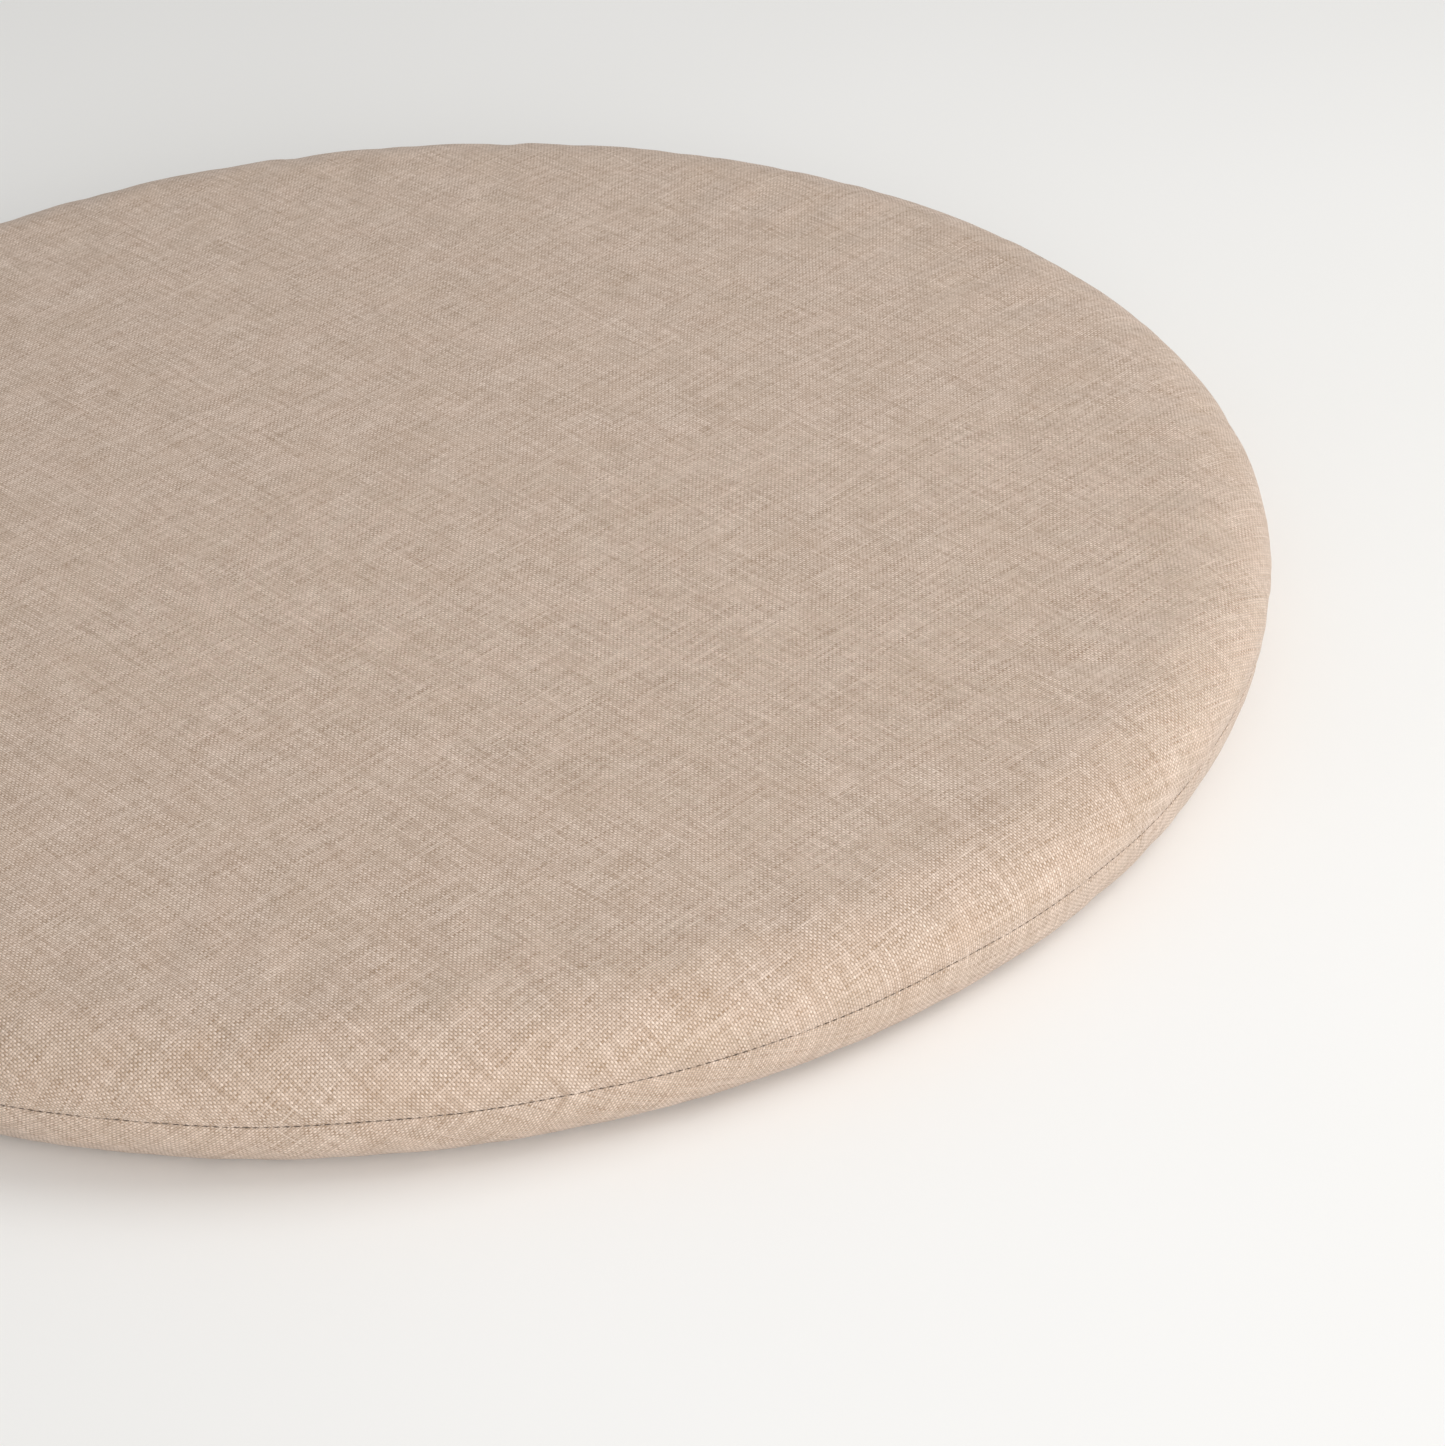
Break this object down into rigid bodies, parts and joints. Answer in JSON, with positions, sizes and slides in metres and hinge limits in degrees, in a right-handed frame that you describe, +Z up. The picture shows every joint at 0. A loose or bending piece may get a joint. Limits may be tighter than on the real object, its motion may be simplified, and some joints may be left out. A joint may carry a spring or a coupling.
{
  "type": "chair seat pad",
  "caption": "Round chair seat pad: a zipped woven cover with one side seam, over a lined foam insert wrapped in wadding.",
  "frame": {"origin": "centre of the underside, on the surface that the pad rests on", "axes": "+Z up through the pad's thickness, -Y towards the front, +Y towards the zip, +X to the right"},
  "size_m": [0.6398, 0.6408, 0.0515],
  "materials": {
    "cover_fabric": "linen-look plain weave, melange beige",
    "sewing_thread": "spun polyester thread, beige",
    "zip_tape": "narrow woven tape, beige",
    "zip_nylon": "satin nylon, beige",
    "zip_metal": "satin nickel",
    "label_satin": "blank satin ribbon",
    "liner_nonwoven": "bonded non-woven, white",
    "wadding_fibre": "soft polyester wadding, white",
    "foam": "open-cell foam, cream"
  },
  "bodies": {
    "pad": {"cover_top_panel": "cover_fabric", "cover_bottom_panel": "cover_fabric", "side_seam_thread": "sewing_thread", "zip_tape_upper": "zip_tape", "zip_tape_lower": "zip_tape", "zip_coil_upper": "zip_nylon", "zip_coil_lower": "zip_nylon", "zip_end_tack_right": "sewing_thread", "zip_end_tack_left": "sewing_thread", "zip_topstitch_upper": "sewing_thread", "zip_topstitch_lower": "sewing_thread", "care_label": "label_satin", "liner_top": "liner_nonwoven", "liner_bottom": "liner_nonwoven", "liner_seam_thread": "sewing_thread", "wadding_top": "wadding_fibre", "wadding_bottom": "wadding_fibre", "foam_core": "foam"},
    "slider": {"zip_slider": "zip_metal"},
    "pull_tab": {"zip_pull_tab": "zip_metal"}
  },
  "joints": [
    {"name": "zip_slide", "type": "hinge", "parent": "pad", "child": "slider", "pos_m": [0, 0, 0.024], "axis": [0, 0, 1], "range_deg": [0, 92], "deforming": ["zip_coil_upper", "zip_coil_lower"]},
    {"name": "tab_swivel", "type": "hinge", "parent": "slider", "child": "pull_tab", "pos_m": [0.23256, 0.22458, 0.024], "axis": [0, 0, -1], "range_deg": [0, 165]}
  ]
}
